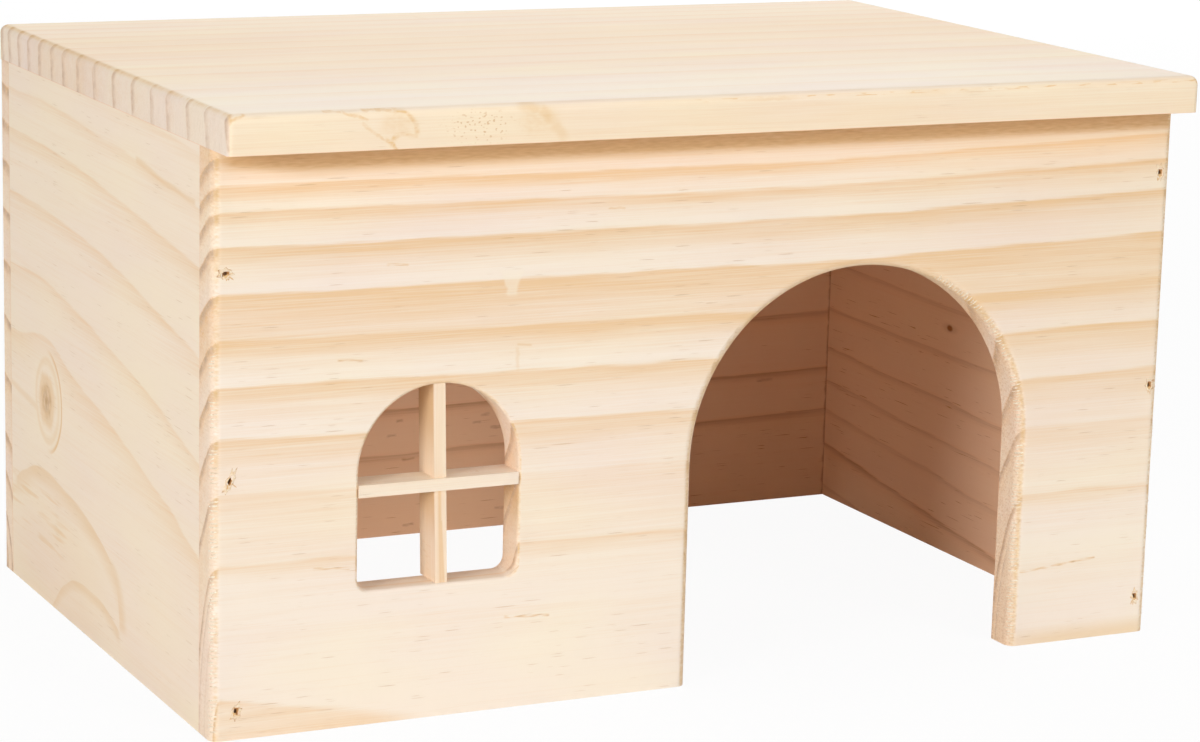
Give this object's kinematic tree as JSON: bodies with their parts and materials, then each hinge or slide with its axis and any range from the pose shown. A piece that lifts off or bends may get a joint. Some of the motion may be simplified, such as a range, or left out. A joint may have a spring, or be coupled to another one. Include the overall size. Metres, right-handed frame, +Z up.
{
  "type": "small pet house",
  "caption": "Open-bottomed wooden hamster house with an arched doorway, an arched window with crossed bars and a flat roof that overhangs the front.",
  "frame": {"origin": "on the floor, at the centre of the bounding box, which includes the roof's overhang at the front", "axes": "+Z up, the front with the doorway faces -Y, +X towards the doorway's side"},
  "size_m": [0.28, 0.191, 0.16],
  "materials": {
    "pine": "planed and sanded, unfinished",
    "bar_pine": "sawn and sanded, unfinished",
    "brad_steel": "bright wire, slightly dull"
  },
  "bodies": {
    "root": {"front_panel": "pine", "back_panel": "pine", "left_wall": "pine", "right_wall": "pine", "roof_panel": "pine", "window_rail": "bar_pine", "window_post": "bar_pine", "front_left_brads": "brad_steel", "front_right_brads": "brad_steel", "back_left_brads": "brad_steel", "back_right_brads": "brad_steel"}
  },
  "joints": []
}
